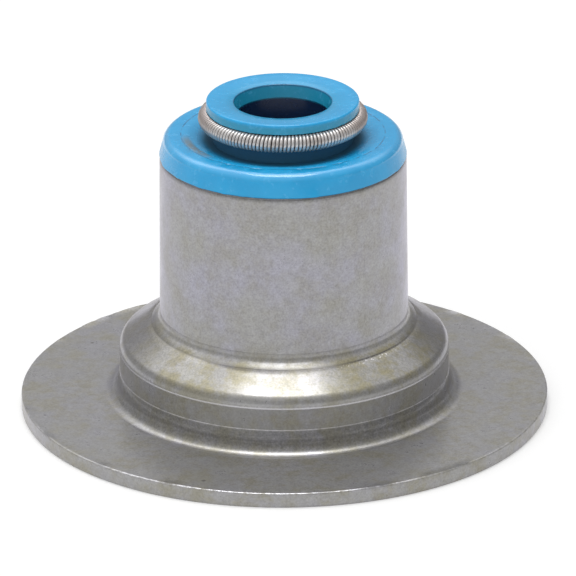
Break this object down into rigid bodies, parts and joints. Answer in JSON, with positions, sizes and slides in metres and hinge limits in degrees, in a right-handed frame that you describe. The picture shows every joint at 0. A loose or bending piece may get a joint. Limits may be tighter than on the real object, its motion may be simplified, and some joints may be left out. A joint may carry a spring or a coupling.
{
  "type": "valve stem seal",
  "caption": "Valve stem seal with a built-in spring seat: a drawn steel top-hat case, a moulded blue rubber seal head and a garter spring around its lip.",
  "frame": {"origin": "centre of the flange's underside, where the seal rests on the spring pocket", "axes": "+Z along the valve stem, from the flange towards the seal head; X and Y across the flange"},
  "size_m": [0.0386, 0.0386, 0.0236],
  "materials": {
    "case_steel": "deep-drawn sheet steel, left plain, dull grey with oily staining and drawing marks",
    "seal_rubber": "moulded blue fluoroelastomer with a soft sheen",
    "spring_steel": "bright drawn spring wire"
  },
  "bodies": {
    "root": {"metal_case": "case_steel", "rubber_seal": "seal_rubber", "garter_spring": "spring_steel"}
  },
  "joints": []
}
